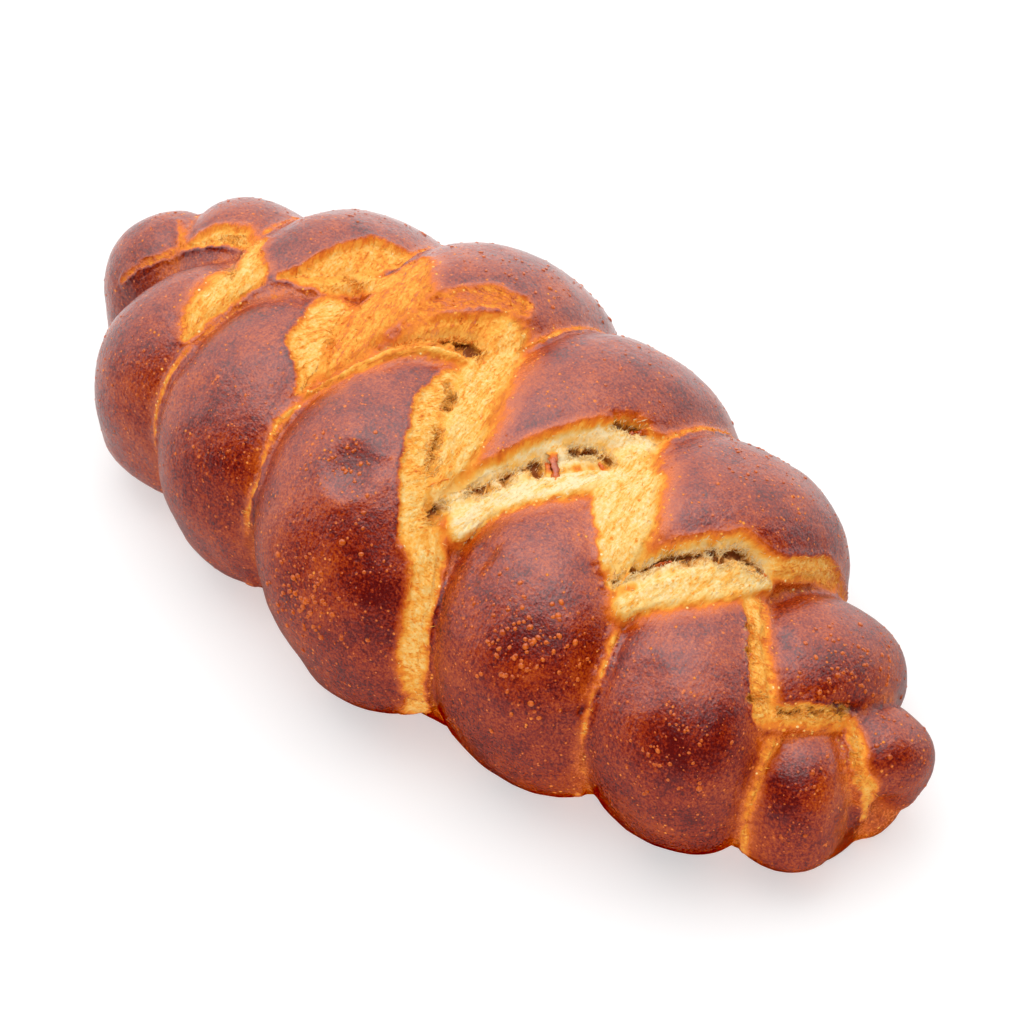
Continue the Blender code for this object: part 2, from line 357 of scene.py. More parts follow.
def strand_field(strand, points):
    """Distance of each point from one strand's surface, the outward direction, and its place in the strand."""
    path, widths, depths, across, fullness = strand
    first, middle, last = (np.array(place) for place in path)
    across = np.array(across)
    slope_0 = 4 * middle - 3 * first - last
    bend = 2 * first + 2 * last - 4 * middle
    t = np.zeros(len(points))
    best = np.full(len(points), 9.0)
    for guess in np.linspace(0, 1, 9):
        gap = ((points - first - slope_0 * guess - bend * guess**2) ** 2).sum(1)
        t[gap < best] = guess
        best = np.minimum(gap, best)
    for sharpening in range(5):
        offset = first + slope_0 * t[:, None] + bend * t[:, None] ** 2 - points
        run = slope_0 + 2 * bend * t[:, None]
        curve = np.maximum((run**2).sum(1) + 2 * (offset @ bend), 0.2 * (run**2).sum(1))
        t = np.clip(t - (offset * run).sum(1) / curve, 0, 1)
    offset = points - (first + slope_0 * t[:, None] + bend * t[:, None] ** 2)
    ahead = slope_0 + 2 * bend * t[:, None]
    ahead /= np.linalg.norm(ahead, axis=1)[:, None]
    aside = across - ahead * (ahead @ across)[:, None]
    aside /= np.linalg.norm(aside, axis=1)[:, None]
    above = np.cross(ahead, aside)
    wide = through_three(widths, t)
    deep = through_three(depths, t)
    cap = np.minimum(wide, deep)
    n = (offset * aside).sum(1) / wide
    b = (offset * above).sum(1) / deep
    e = np.where((t > 0) & (t < 1), 0, (offset * ahead).sum(1)) / cap
    total = (abs(n) ** fullness + abs(b) ** fullness + abs(e) ** fullness) ** (1 / fullness) + 1e-9
    pull_n = np.sign(n) * abs(n / total) ** (fullness - 1) / wide
    pull_b = np.sign(b) * abs(b / total) ** (fullness - 1) / deep
    pull_e = np.sign(e) * abs(e / total) ** (fullness - 1) / cap
    slope = np.sqrt(pull_n**2 + pull_b**2 + pull_e**2) + 1e-9
    outward = pull_n[:, None] * aside + pull_b[:, None] * above + pull_e[:, None] * ahead
    length = np.linalg.norm(last - first)
    return (total - 1) / slope, outward / slope[:, None], np.stack([t * length, n * wide, b * deep], axis=1)


def melted(points, softness):
    """Distance to the melted skin of all strands, its direction, the place in the nearest strand, its lead."""
    raw_points = (points - shift) / stretch
    distances = np.full((len(strands), len(points)), 0.05)
    outwards = np.zeros((len(strands), len(points), 3))
    insides = np.zeros((len(strands), len(points), 3))
    for number, strand in enumerate(strands):
        places = np.array(strand[0])
        margin = max(strand[1]) + 8 * MM
        close = np.all((raw_points > places.min(0) - margin) & (raw_points < places.max(0) + margin), axis=1)
        found = strand_field(strand, raw_points[close])
        distances[number, close], outwards[number, close], insides[number, close] = found
    inside = insides[distances.argmin(0), np.arange(len(points))]
    order = np.sort(distances, axis=0)
    weights = np.exp(-(distances - order[0]) / softness)
    total = weights.sum(0)
    distance = order[0] - softness * np.log(total)
    outward = (weights[:, :, None] * outwards).sum(0) / total[:, None]
    return distance, outward, inside, order[1] - order[0]


points = corners(skin_mesh)
on_base = points[:, 2] < 0.06 * MM
soft_sides = [Vector((math.cos(math.radians(row[2])), math.sin(math.radians(row[2])), 0)) for row in TEARS.values()]
found = [route_reach(points, stops, side) for stops, side in zip(tear_routes, soft_sides)]
reaches = np.array([reach for reach, leaning in found]) / MM
leanings = np.array([leaning for reach, leaning in found])
bare = reaches.max(0)
softness = (0.7 + 3.3 * np.clip((bare + 3) / 6, 0, 1)) * MM
for settling in range(3):
    distance, outward, strand_place, lead = melted(points, softness)
    size = np.maximum((outward**2).sum(1), 0.3)
    points -= (np.clip(distance, -2 * MM, 2 * MM) / size)[:, None] * outward * stretch
    points[on_base, 2] = 0
    points[:, 2] = np.maximum(points[:, 2], 0)
print("settled", abs(distance[~on_base]).mean() / MM)


def noise_at(points, scale, seed, depth=2):
    """Smooth noise of about -1 to 1 at each point; scale is the size of its lumps."""
    offset = Vector((seed * 17.3, seed * 5.1, seed * 9.7))
    spread = points / scale
    return np.array([noise.fractal(Vector(place) + offset, 0.6, 2.0, depth) for place in spread])


def write_corners(mesh, points):
    mesh.vertices.foreach_set("co", points.ravel())
    mesh.update()


def normals_of(mesh):
    flat = np.empty(len(mesh.vertices) * 3)
    mesh.vertex_normals.foreach_get("vector", flat)
    return flat.reshape(-1, 3)


write_corners(skin_mesh, points)
normals = normals_of(skin_mesh)
lumps = noise_at(points, 26 * MM, 1) * 0.7 + noise_at(points, 7 * MM, 2) * 0.16
ragged = noise_at(points, 4 * MM, 3, 3) * 0.9

# Browning: how far inside the nearest tear each point lies, with that tear's own tone and fade. The
# material turns these into colour.
tear_rows = np.array([row[:5] for row in TEARS.values()], float)
owner = reaches.argmax(0)
nearness = reaches - reaches.max(0)
bare = reaches.max(0) + 0.6 * np.log(np.exp(nearness / 0.6).sum(0)) + ragged
shares = np.exp(nearness / 1.5)
shares /= shares.sum(0)
core = tear_rows[:, 0] @ shares
step = tear_rows[:, 3] @ shares
softer = np.clip(leanings * 1.2 + 0.5, 0, 1)
fade = (shares * (HARD_FADE + (tear_rows[:, 1:2] - HARD_FADE) * softer)).sum(0)
steps = np.clip(bare / 1.4, 0, 1) * step
runner_up = np.sort(reaches, axis=0)[-2]
certain = np.clip((reaches.max(0) - runner_up - 0.8) / 3, 0, 1)

# Gashes: ragged pockets along each route, with a wall that slopes into them from the far side.
gash_rows = np.array([row[:2] for row in GASHES.values()], float)
found = [route_reach(points, stops, FAR_SIDE) for stops in gash_routes]
gash_reaches = np.array([reach for reach, leaning in found]) / MM
gash_far = np.clip(np.array([leaning for reach, leaning in found]) * 2, 0, 1)
gash_ragged = noise_at(points, 1.8 * MM, 4, 3) * 0.5 + noise_at(points, 4.5 * MM, 8, 2) * 1.3
hollow = np.clip((gash_reaches + gash_ragged + 0.2) / 1.2, 0, 1)
hollow = hollow * hollow * (3 - 2 * hollow)
gash = (gash_reaches + gash_ragged).max(0)
slope = np.exp(-(np.maximum(-gash_reaches, 0) / gash_rows[:, 1:2]) ** 2) * (0.3 + 0.7 * gash_far)
wall = (slope * np.clip(gash_rows[:, 1:2] / 3, 0, 1)).max(0)
sink = np.maximum(hollow * gash_rows[:, :1], slope * gash_rows[:, :1] * 0.5).max(0)
creased = np.zeros(len(points))
# Creases are dug into the skin, and the crust along them is painted darker: painted shade in the crease.
crease_painted_shade = np.zeros(len(points))
for (depth, dark, *stops), route in zip(CREASES.values(), crease_routes):
    line = np.clip(1 + route_reach(points, route)[0] / (0.9 * MM) + ragged * 0.2, 0, 1)
    creased = np.maximum(creased, line * depth)
    crease_painted_shade = np.where(line * abs(dark) > abs(crease_painted_shade), line * dark, crease_painted_shade)
angles = np.radians(tear_rows[owner, 4])
fibre = np.stack([np.cos(angles), np.sin(angles), np.zeros(len(points))], axis=1)
pull = points - 0.75 * (points * fibre).sum(1)[:, None] * fibre
crumb = np.clip(bare / 0.8, 0, 1)
fibres = noise_at(pull, 1.3 * MM, 5, 3) * 0.26 * certain + noise_at(points, 5 * MM, 7, 2) * 0.5
crisp = np.clip(1.4 - fade / 8, 0, 1)
lip = np.exp(-((bare + 0.9) / 0.8) ** 2) * crisp
dimple = np.zeros(len(points))
for x, y, radius, depth in ((-18, -50, 7, 2.6), (-10, -44, 3, 0.7), (118, -8, 5, 0.7), (31, -44, 4, 1.0), (96, -46, 6, 0.8), (-86, -52, 6, 0.8)):
    away = np.hypot(points[:, 0] / MM - x, points[:, 1] / MM - y) / radius
    dimple += depth * (np.exp(-(away**2)) - 0.35 * np.exp(-(((away - 1.5) / 0.4) ** 2)))
rise = lumps - dimple + lip * 0.6 - steps + crumb * fibres - sink - creased
rise[on_base] = 0
points += normals * (rise * MM)[:, None]
points[:, 2] = np.maximum(points[:, 2], 0)
write_corners(skin_mesh, points)
normals = normals_of(skin_mesh)

# Darker patches on the crust: along, across, radius, how much darker. The first sits in the hollow of the F4 dimple and
# is painted shade there.
DARK_PATCHES_AND_DIMPLE_SHADE = (
    (-17, -50, 7, 0.16), (6, -72, 13, 0.12), (61, -60, 13, 0.15), (116, -52, 10, 0.24), (144, -34, 7, 0.16),
    (-122, -45, 9, 0.1), (-69, -62, 11, 0.1), (134, -4, 8, 0.12),
)
glow_width = np.where(strand_place[:, 1] > 0, 8, 2.5) * MM
near_seam = np.clip(lead / glow_width, 0, 1)
# The crust is painted paler towards the bench: partly a paler lower crust, partly a painted reflection of the bright
# floor on the low flanks.
near_bench = np.clip(points[:, 2] / (20 * MM), 0, 1)
patches = noise_at(points, 16 * MM, 6, 3)
dark_patches_and_shade = np.zeros(len(points))
for x, y, radius, strength in DARK_PATCHES_AND_DIMPLE_SHADE:
    away = ((points[:, 0] / MM - x) ** 2 + (points[:, 1] / MM - y) ** 2) / radius**2
    dark_patches_and_shade = np.maximum(dark_patches_and_shade, strength * np.exp(-away))
CRUST_TONE = 0.82
EDGE_TONE = 0.42
crust_tone = CRUST_TONE - 0.30 * (1 - near_seam) ** 1.6 - 0.1 * (1 - near_bench) ** 2 + 0.11 * patches + dark_patches_and_shade + crease_painted_shade
# A darker line on the crust along the crisp torn edges, where the lip drops to the bare dough: painted shade at the
# rim.
painted_lip_shade = np.exp(-(((bare + 0.7) / 0.7) ** 2)) * np.clip(step / 1.5, 0, 1) * np.clip((3 - fade) / 2, 0, 1)
crust_tone += 0.2 * painted_lip_shade
crust_tone[on_base] = 0.62
browned = np.clip(-bare / fade, 0, 1) ** 0.7
tone = EDGE_TONE + (core - EDGE_TONE) * np.clip(bare / 2.2, 0, 1) + (crust_tone - EDGE_TONE) * browned


def give(mesh, name, values):
    """Stores one number, or one vector, for each vertex of the mesh."""
    kind = "FLOAT" if values.ndim == 1 else "FLOAT_VECTOR"
    layer = mesh.attributes.new(name, kind, "POINT")
    layer.data.foreach_set("value" if values.ndim == 1 else "vector", values.astype(np.float32).ravel())


give(skin_mesh, "crust_tone", crust_tone)
give(skin_mesh, "bare", bare)
give(skin_mesh, "core", core)
give(skin_mesh, "fade", fade)
give(skin_mesh, "gash", gash)
give(skin_mesh, "wall", wall)
give(skin_mesh, "pull", pull)
give(skin_mesh, "certain", certain)
give(skin_mesh, "strand", strand_place)


def place(tree, kind, values=None, **settings):
    """A shader node with its settings and inputs; an input is a number, a colour or another node's output."""
    made = tree.nodes.new("ShaderNode" + kind)
    for name, setting in settings.items():
        setattr(made, name, setting)
    for socket, value in (values or {}).items():
        if isinstance(value, bpy.types.NodeSocket):
            tree.links.new(value, made.inputs[socket])
        else:
            made.inputs[socket].default_value = value
    return made


def sums(tree, operation, *values):
    """Output of a Math node."""
    return place(tree, "Math", dict(enumerate(values)), operation=operation).outputs[0]


def remap(tree, value, low, high, to_low=0.0, to_high=1.0):
    """Output of a Map Range node with soft ends."""
    values = {"Value": value, "From Min": low, "From Max": high, "To Min": to_low, "To Max": to_high}
    return place(tree, "MapRange", values, interpolation_type="SMOOTHSTEP").outputs[0]


def blended(tree, factor, first, second, kind="MIX"):
    """Output of a colour Mix node."""
    mix = place(tree, "Mix", {0: factor, 6: first, 7: second}, data_type="RGBA", blend_type=kind)
    return mix.outputs[2]


def ramp(tree, value, stops):
    """Output of a Color Ramp with the given (position, colour) stops."""
    made = place(tree, "ValToRGB", {0: value})
    elements = made.color_ramp.elements
    while len(elements) < len(stops):
        elements.new(0.5)
    for element, (position, colour) in zip(elements, stops):
        element.position = position
        element.color = (*colour, 1)
    return made.outputs[0]


def attribute(tree, name, output="Fac"):
    return place(tree, "Attribute", attribute_name=name).outputs[output]


def grain(tree, vector, size, detail=3.0, roughness=0.6):
    """Output of a Noise node whose lumps are about size metres across."""
    values = {"Vector": vector, "Scale": 1 / size, "Detail": detail, "Roughness": roughness}
    return place(tree, "TexNoise", values).outputs[0]


BAKED_TONES = (
    (0.0, (0.97, 0.79, 0.46)),
    (0.14, (0.96, 0.62, 0.19)),
    (0.26, (0.96, 0.43, 0.05)),
    (0.38, (0.86, 0.24, 0.012)),
    (0.5, (0.69, 0.135, 0.005)),
    (0.62, (0.53, 0.085, 0.003)),
    (0.76, (0.38, 0.042, 0.002)),
    (0.88, (0.24, 0.012, 0.001)),
    (1.0, (0.10, 0.002, 0.001)),
)


def socket(group, name, way="OUTPUT", kind="NodeSocketFloat"):
    group.interface.new_socket(name, in_out=way, socket_type=kind)


# Shared by every baked surface: how brown it is gives its colour, its roughness and its egg-wash gloss.
baked = bpy.data.node_groups.new("baked_tone", "ShaderNodeTree")
socket(baked, "Tone", "INPUT")
socket(baked, "Color", kind="NodeSocketColor")
socket(baked, "Roughness")
socket(baked, "Egg Wash")
tone_value = baked.nodes.new("NodeGroupInput").outputs["Tone"]
baked_out = baked.nodes.new("NodeGroupOutput")
baked.links.new(ramp(baked, tone_value, BAKED_TONES), baked_out.inputs["Color"])
baked.links.new(remap(baked, tone_value, 0.35, 0.62, 0.8, 0.2), baked_out.inputs["Roughness"])
baked.links.new(remap(baked, tone_value, 0.45, 0.68, 0.0, 0.25), baked_out.inputs["Egg Wash"])


def baked_finish(tree, tone_value):
    """Puts the shared baked look on a material's shader and returns its group node and the shader."""
    shader = tree.nodes["Principled BSDF"]
    finish = place(tree, "Group", node_tree=baked)
    tree.links.new(tone_value, finish.inputs["Tone"])
    tree.links.new(finish.outputs["Color"], shader.inputs["Base Color"])
    tree.links.new(finish.outputs["Roughness"], shader.inputs["Roughness"])
    tree.links.new(finish.outputs["Egg Wash"], shader.inputs["Coat Weight"])
    shader.inputs["Coat Roughness"].default_value = 0.1
    return finish, shader


crust = bpy.data.materials.new("crust_and_torn_dough")
crust.use_nodes = True
tree = crust.node_tree
where = place(tree, "TexCoord").outputs["Object"]
pulled = attribute(tree, "pull", "Vector")
strand_at = attribute(tree, "strand", "Vector")
certain_in = attribute(tree, "certain")
streaks = sums(tree, "MULTIPLY_ADD", certain_in, sums(tree, "SUBTRACT", grain(tree, pulled, 0.6 * MM), 0.5), 0.5)
mottle = grain(tree, where, 1.2 * MM, 4.0, 0.7)
patchy = grain(tree, where, 3.5 * MM, 3.0, 0.6)
broad = grain(tree, where, 8 * MM, 4.0)

# The torn edge: ragged, granular, and softer where the browning fades slowly.
fade_in = attribute(tree, "fade")
wander = sums(tree, "MULTIPLY_ADD", mottle, 4.5, sums(tree, "MULTIPLY_ADD", streaks, 3.5, -4.0))
wander = sums(tree, "MULTIPLY", wander, remap(tree, fade_in, 2, 8, 0.5, 2.0))
edge = sums(tree, "ADD", attribute(tree, "bare"), wander)
inner = sums(tree, "DIVIDE", edge, remap(tree, fade_in, 1, 6, 1.2, 3.2))
inner = sums(tree, "MINIMUM", sums(tree, "MAXIMUM", inner, 0.0), 1.0)
outer = sums(tree, "DIVIDE", sums(tree, "MULTIPLY", edge, -1.0), fade_in)
outer = sums(tree, "MINIMUM", sums(tree, "MAXIMUM", outer, 0.0), 1.0)
outer = sums(tree, "POWER", outer, 0.7)
to_core = sums(tree, "SUBTRACT", attribute(tree, "core"), EDGE_TONE)
to_crust = sums(tree, "SUBTRACT", attribute(tree, "crust_tone"), EDGE_TONE)
toned = sums(tree, "MULTIPLY_ADD", inner, to_core, sums(tree, "MULTIPLY_ADD", outer, to_crust, EDGE_TONE))
crumb_mask = inner
golden = remap(tree, grain(tree, pulled, 2.4 * MM, 4.0, 0.7), 0.44, 0.64, -0.06, 0.09)
golden = sums(tree, "MULTIPLY", golden, certain_in)
specks = remap(tree, sums(tree, "MULTIPLY_ADD", patchy, 0.5, streaks), 0.78, 0.98, 0.0, 0.12)
flaky = sums(tree, "MULTIPLY", sums(tree, "SUBTRACT", 1.0, inner), sums(tree, "SUBTRACT", 1.0, outer))
swing = sums(tree, "MULTIPLY_ADD", flaky, 1.1, sums(tree, "MULTIPLY", inner, 0.9))
toned = sums(tree, "MULTIPLY_ADD", sums(tree, "ADD", golden, specks), swing, toned)
brushed = place(tree, "Mapping", {"Vector": strand_at, "Scale": (0.2, 1, 1)}).outputs[0]
brushed = grain(tree, brushed, 1.0 * MM, 3.0, 0.6)
grained = sums(tree, "MULTIPLY_ADD", mottle, 1.1, sums(tree, "MULTIPLY_ADD", brushed, 0.3, -0.7))
grained = sums(tree, "MULTIPLY_ADD", broad, 0.5, sums(tree, "ADD", grained, -0.25))
toned = sums(tree, "MULTIPLY_ADD", grained, 0.5, toned)
fine = grain(tree, where, 0.75 * MM, 2.0, 0.6)
speckled = sums(tree, "MULTIPLY", remap(tree, fine, 0.36, 0.64, -0.08, 0.08), outer)
toned = sums(tree, "ADD", toned, speckled)
scabs = remap(tree, grain(tree, where, 2.2 * MM, 3.0, 0.65), 0.56, 0.68, 0.0, 0.09)
toned = sums(tree, "MULTIPLY_ADD", scabs, outer, toned)

# Fine freckles of gas bubbles that came through the crust, too small to stand up, in two sizes.
not_crumb = sums(tree, "SUBTRACT", 1.0, crumb_mask)
freckle = 0.0
for cell, commonest, largest in ((1.9, 0.15, 0.26), (4.2, 0.5, 0.17)):
    bubbles = place(tree, "TexVoronoi", {"Vector": where, "Scale": 1 / (cell * MM), "Randomness": 1.0})
    bubble_size = place(tree, "SeparateColor", {0: bubbles.outputs["Color"]}).outputs[0]
    bubble_size = remap(tree, bubble_size, commonest, 1.0, -0.02, largest)
    spot = remap(tree, sums(tree, "SUBTRACT", bubble_size, bubbles.outputs["Distance"]), -0.04, 0.06)
    freckle = sums(tree, "MAXIMUM", spot, freckle)
freckled = remap(tree, grain(tree, where, 12 * MM, 2.0), 0.38, 0.62, 0.35, 1.0)
freckle = sums(tree, "MULTIPLY", freckle, sums(tree, "MULTIPLY", freckled, not_crumb))
toned = sums(tree, "MULTIPLY_ADD", freckle, -0.4, toned)
finish, shader = baked_finish(tree, toned)
# The sloping walls into the gashes turn a saturated golden: partly the crumb's own colour, partly painted bounce light
# that keeps these shaded walls bright.
wall_in = sums(tree, "MULTIPLY", remap(tree, attribute(tree, "wall"), 0.1, 0.9), crumb_mask)
wall_in = sums(tree, "MULTIPLY", wall_in, remap(tree, patchy, 0.35, 0.6, 0.2, 0.9))
colour = blended(tree, wall_in, finish.outputs["Color"], (0.98, 0.54, 0.10, 1))
# Into the gashes the colour turns dark orange-brown, darkest at the bottom of the pits: painted shade.
in_gash = sums(tree, "ADD", attribute(tree, "gash"), sums(tree, "MULTIPLY_ADD", streaks, 5.0, -2.5))
in_gash = sums(tree, "ADD", in_gash, sums(tree, "MULTIPLY_ADD", mottle, 4.0, -2.0))
colour = blended(tree, remap(tree, in_gash, -1.0, 0.6, 0.0, 0.75), colour, (0.66, 0.27, 0.02, 1))
colour = blended(tree, remap(tree, in_gash, 0.3, 1.6), colour, (0.27, 0.065, 0.003, 1))
tree.links.new(colour, shader.inputs["Base Color"])
skin_grain = grain(tree, where, 0.8 * MM, 3.0, 0.65)
broad_grain = grain(tree, where, 2.6 * MM, 2.0, 0.5)
relief = sums(tree, "MULTIPLY", streaks, sums(tree, "MULTIPLY", crumb_mask, 2.2))
relief = sums(tree, "MULTIPLY_ADD", skin_grain, 0.8, relief)
relief = sums(tree, "MULTIPLY_ADD", broad_grain, 1.4, relief)
relief = sums(tree, "MULTIPLY_ADD", brushed, sums(tree, "MULTIPLY", not_crumb, 0.6), relief)
relief = sums(tree, "MULTIPLY_ADD", freckle, 0.5, relief)
bump = place(tree, "Bump", {"Strength": 1.0, "Distance": 0.25 * MM, "Height": relief})
tree.links.new(bump.outputs[0], shader.inputs["Normal"])
tree.links.new(bump.outputs[0], shader.inputs["Coat Normal"])
skin_mesh.materials.clear()
skin_mesh.materials.append(crust)
skin_mesh.shade_smooth()
loaf = bpy.data.objects.new("loaf_crust", skin_mesh)
bpy.context.collection.objects.link(loaf)
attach(loaf, "root")
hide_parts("loaf")


# ---- Blisters on the crust ---------------------------------------------------------------------------
# Small gas bubbles that rose under the egg wash and baked hard: low orange domes, crowded on the crests
# that faced the oven's heat and scattered thinly elsewhere. They are part of the crust itself.

# Where they crowd, millimetres: along, across, up, spread, how many, largest radius.
BLISTER_FIELDS = (
    (-14, -80, 56, 8.5, 120, 1.0), (-22, -52, 87, 7, 55, 0.75), (4, -62, 80, 8, 14, 1.0),
    (59, -57, 71, 8.5, 110, 0.95), (45, -48, 76, 8, 24, 0.8), (80, 34, 81, 8, 40, 0.7),
    (-32, 50, 83, 12, 50, 0.7), (137, 4, 61, 8, 90, 0.9), (146, 12, 50, 7, 40, 0.8), (117, -50, 63, 7, 34, 0.7),
    (112, -58, 56, 8, 26, 0.9), (150, -24, 46, 4, 12, 0.9), (146, -38, 36, 6, 12, 0.8), (163, 2, 34, 7, 22, 0.8),
    (24, 39, 85, 10, 30, 0.6), (-70, -58, 68, 12, 34, 0.6), (-112, -50, 52, 12, 30, 0.6), (-128, 22, 56, 14, 24, 0.5),
    (-90, 42, 76, 14, 30, 0.6), (70, 52, 60, 12, 34, 0.8), (0, 66, 60, 14, 44, 0.9), (-60, 60, 50, 14, 40, 0.9),
    (30, -74, 40, 10, 20, 0.6),
)
LONE_BLISTERS = 1300
chance = np.random.default_rng(11)
skin_faces = [tuple(face.vertices) for face in skin_mesh.polygons]
skin_tree = BVHTree.FromPolygons([Vector(corner) for corner in points], skin_faces)
spots = []
for x, y, z, spread, count, largest in BLISTER_FIELDS:
    for offset in chance.normal(0, spread, (count, 3)):
        spots.append(((x + offset[0], y + offset[1], z + offset[2]), largest * 1.3 * chance.uniform(0.25, 1) ** 1.4))
for spot in chance.uniform((-170, -85, 12), (170, 85, 95), (LONE_BLISTERS, 3)):
    spots.append((spot, chance.uniform(0.2, 0.45)))
blister_mesh = bpy.data.meshes.new("crust_blisters")
blisters = bmesh.new()
batch = bmesh.new()
blister_tones = []
for number, (spot, radius) in enumerate(spots):
    top, normal, face, drop = skin_tree.find_nearest(Vector(spot) * MM)
    if top.z > 8 * MM and tone[skin_faces[face][0]] > 0.62 and lead[skin_faces[face][0]] > 1.5 * MM:
        upright = normal.to_track_quat("Z", "Y").to_matrix().to_4x4()
        turn = Matrix.Rotation(chance.uniform(0, 3), 4, "Z")
        size = Matrix.Diagonal((radius * MM, radius * MM * chance.uniform(0.65, 1), radius * MM * 0.42, 1))
        matrix = Matrix.Translation(top) @ upright @ turn @ size
        dome = bmesh.ops.create_uvsphere(batch, u_segments=7, v_segments=4, radius=1, matrix=matrix)
        blister_tones += [chance.uniform(0.5, 0.7)] * len(dome["verts"])
    if number % 50 == 49 or number == len(spots) - 1:
        batch.to_mesh(blister_mesh)
        blisters.from_mesh(blister_mesh)
        batch.clear()
blisters.to_mesh(blister_mesh)
blisters.free()
blister_mesh.shade_smooth()
give(blister_mesh, "tone", np.array(blister_tones))
blister_skin = bpy.data.materials.new("blister_skin")
blister_skin.use_nodes = True
tree = blister_skin.node_tree
where = place(tree, "TexCoord").outputs["Object"]
toned = sums(tree, "MULTIPLY_ADD", grain(tree, where, 0.5 * MM), 0.2, attribute(tree, "tone"))
finish, shader = baked_finish(tree, sums(tree, "SUBTRACT", toned, 0.1))
shader.inputs["Coat Weight"].default_value = 0.3
blister_mesh.materials.append(blister_skin)
blister_piece = bpy.data.objects.new("crust_blisters", blister_mesh)
bpy.context.collection.objects.link(blister_piece)
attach(blister_piece, "root")
print("blisters", len(blister_mesh.polygons))


# ---- Torn fibres ---------------------------------------------------------------------------------------
# Shreds of dough where the loaf tore open in the oven: short stiff points that stand along the gashes,
# and a few threads still joined across them. They are dough themselves, grown out of the torn faces.
SHREDS = 4200
SHRED_LENGTH = (0.9, 2.3)
SHRED_GIRTH = (0.13, 0.3)
# Threads: tone halfway, thickness in millimetres, and their ends and middle as (along, across).
THREADS = (
    (0.70, 2.4, (24, -1), (28, -5), (32, -9)),
    (0.58, 1.6, (24, -4), (26, -6), (29, -9)),
    (0.36, 0.5, (-6, -30), (-3, -28), (0, -27)),
    (0.40, 0.5, (3, -38), (5, -34), (6, -30)),
    (0.52, 1.6, (36, 7.5), (38, 6.5), (40, 5.5)),
    (0.62, 1.6, (74, -13), (76, -10.5), (78, -9)),
    (0.50, 1.6, (97, 6.5), (98.5, 8.5), (100, 10.5)),
    (0.68, 2.6, (36, 22), (39, 24), (42, 26.5)),
    (0.26, 0.5, (16, -27), (15, -24), (14, -21)),
    (0.26, 0.5, (70, -25), (70, -22), (69, -19)),
    (0.26, 0.6, (80, -10), (79, -7), (79, -4)),
    (0.26, 0.6, (88, -2), (88, 1), (87, 4)),
)
chance = np.random.default_rng(5)
near_gash = gash_reaches.max(0)
wanted = 1.0 * np.exp(-(((near_gash + 0.4) / 0.9) ** 2)) + 0.05
wanted = wanted * (bare > 1.2) * (points[:, 2] > 25 * MM) * (near_gash < 0.6)
edges_wanted = 0.22 * np.exp(-(((bare - 0.6) / 0.7) ** 2)) * crisp * (points[:, 2] > 25 * MM)
wanted = np.maximum(wanted, edges_wanted)
roots = chance.choice(len(points), SHREDS, replace=False, p=wanted / wanted.sum())
torn_mesh = bpy.data.meshes.new("torn_fibres")
torn = bmesh.new()
torn_tones = []
for number, root in enumerate(roots):
    along = Vector(fibre[root]) * chance.choice((-1, 1))
    upward = Vector(normals[root])
    along = (along - upward * along.dot(upward)).normalized()
    jitter = Vector(chance.normal(0, 0.35, 3))
    lean = (along + upward * chance.uniform(0.15, 0.8) + jitter).normalized()
    length = chance.uniform(*SHRED_LENGTH) * MM
    girth = chance.uniform(*SHRED_GIRTH) * MM
    middle = Vector(points[root]) + lean * length * 0.35
    matrix = Matrix.Translation(middle) @ lean.to_track_quat("Z", "Y").to_matrix().to_4x4()
    bmesh.ops.create_cone(
        batch, cap_ends=True, segments=3, radius1=girth, radius2=girth * 0.15, depth=length, matrix=matrix
    )
    torn_tones += [core[root] - 0.1 + chance.uniform(0, 0.16)] * 6
    if number % 50 == 49 or number == len(roots) - 1:
        bmesh.ops.recalc_face_normals(batch, faces=batch.faces)
        batch.to_mesh(torn_mesh)
        torn.from_mesh(torn_mesh)
        batch.clear()
for thread_tone, thickness, *stops in THREADS:
    laid = [Vector(stop[:3]) for stop in on_skin([(*stop, 0) for stop in stops], skin_tree)]
    laid[1].z += 0.3 * thickness * MM
    laid[0].z -= 0.3 * MM
    laid[2].z -= 0.3 * MM
    wide = (0.75 * thickness * MM, 0.42 * thickness * MM, 0.7 * thickness * MM)
    thin = (0.3 * MM, 0.3 * thickness * MM, 0.3 * MM)
    add_strand(batch, (laid, wide, thin, Vector((0.8, 0.6, 0)), 2.0), 18, 36)
    for vertex in batch.verts:
        swelling = Vector((noise.noise(vertex.co * 700), noise.noise(vertex.co * 700 + laid[0] * 9000), 0))
        fraying = noise.noise_vector(vertex.co * 2600)
        vertex.co += (swelling * 0.45 + fraying * 0.16) * thickness * MM
        halfway = 1 - min((vertex.co - laid[1]).length / (laid[0] - laid[1]).length, 1) ** 3
        toasting = 0.24 * noise.noise(vertex.co * 1100)
        torn_tones.append(0.2 + (thread_tone - 0.2 + toasting) * halfway)
    batch.to_mesh(torn_mesh)
    torn.from_mesh(torn_mesh)
    batch.clear()
torn.to_mesh(torn_mesh)
torn.free()
batch.free()
torn_mesh.shade_smooth()
give(torn_mesh, "tone", np.array(torn_tones))
torn_dough = bpy.data.materials.new("torn_dough")
torn_dough.use_nodes = True
tree = torn_dough.node_tree
where = place(tree, "TexCoord").outputs["Object"]
toned = sums(tree, "MULTIPLY_ADD", grain(tree, where, 0.7 * MM), 0.3, attribute(tree, "tone"))
finish, shader = baked_finish(tree, sums(tree, "SUBTRACT", toned, 0.15))
torn_mesh.materials.append(torn_dough)
torn_piece = bpy.data.objects.new("torn_fibres", torn_mesh)
bpy.context.collection.objects.link(torn_piece)
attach(torn_piece, "root")
print("blisters torn", len(torn_mesh.polygons), len(torn_mesh.vertices), len(torn_tones))


